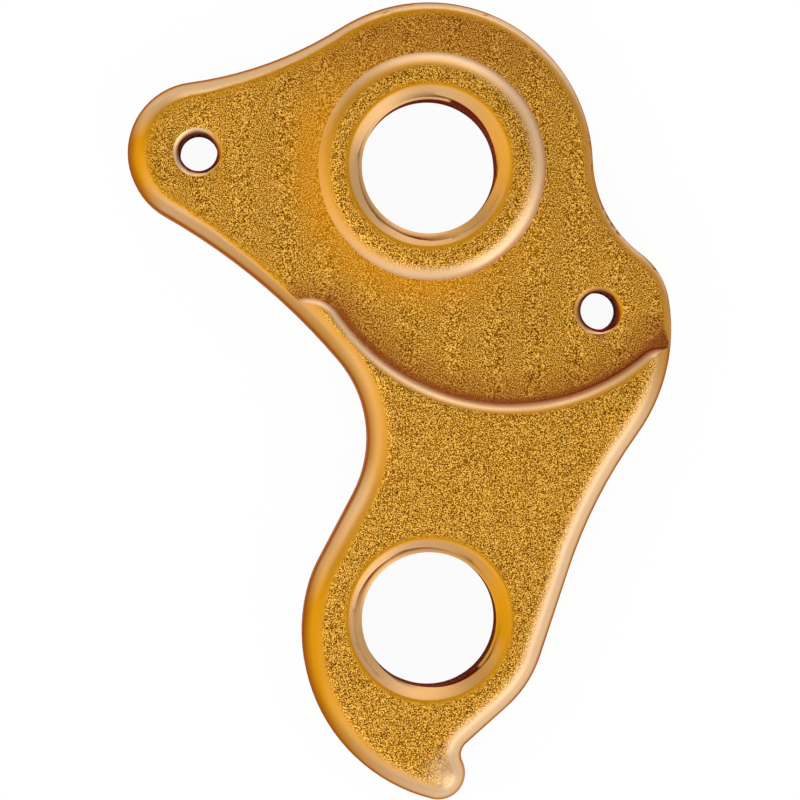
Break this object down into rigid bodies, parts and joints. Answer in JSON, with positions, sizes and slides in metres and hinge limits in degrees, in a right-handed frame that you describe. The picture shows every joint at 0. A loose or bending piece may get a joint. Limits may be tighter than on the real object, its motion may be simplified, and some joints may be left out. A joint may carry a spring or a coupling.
{
  "type": "bicycle derailleur hanger",
  "caption": "Replaceable rear derailleur hanger: a plate with a stepped seat and a boss for the frame, and a curved arm with a tapped derailleur hole above a hooked stop tab.",
  "frame": {"origin": "where the axis of the axle hole meets the flat outer face", "axes": "+X to the rear of the bicycle, +Y up from the derailleur hole to the axle hole, +Z inboard from the outer face to the frame"},
  "size_m": [0.0363, 0.0534, 0.007],
  "materials": {
    "gold_anodised_aluminium": "bead-blasted satin, gold anodised"
  },
  "bodies": {
    "root": {"hanger": "gold_anodised_aluminium"}
  },
  "joints": []
}
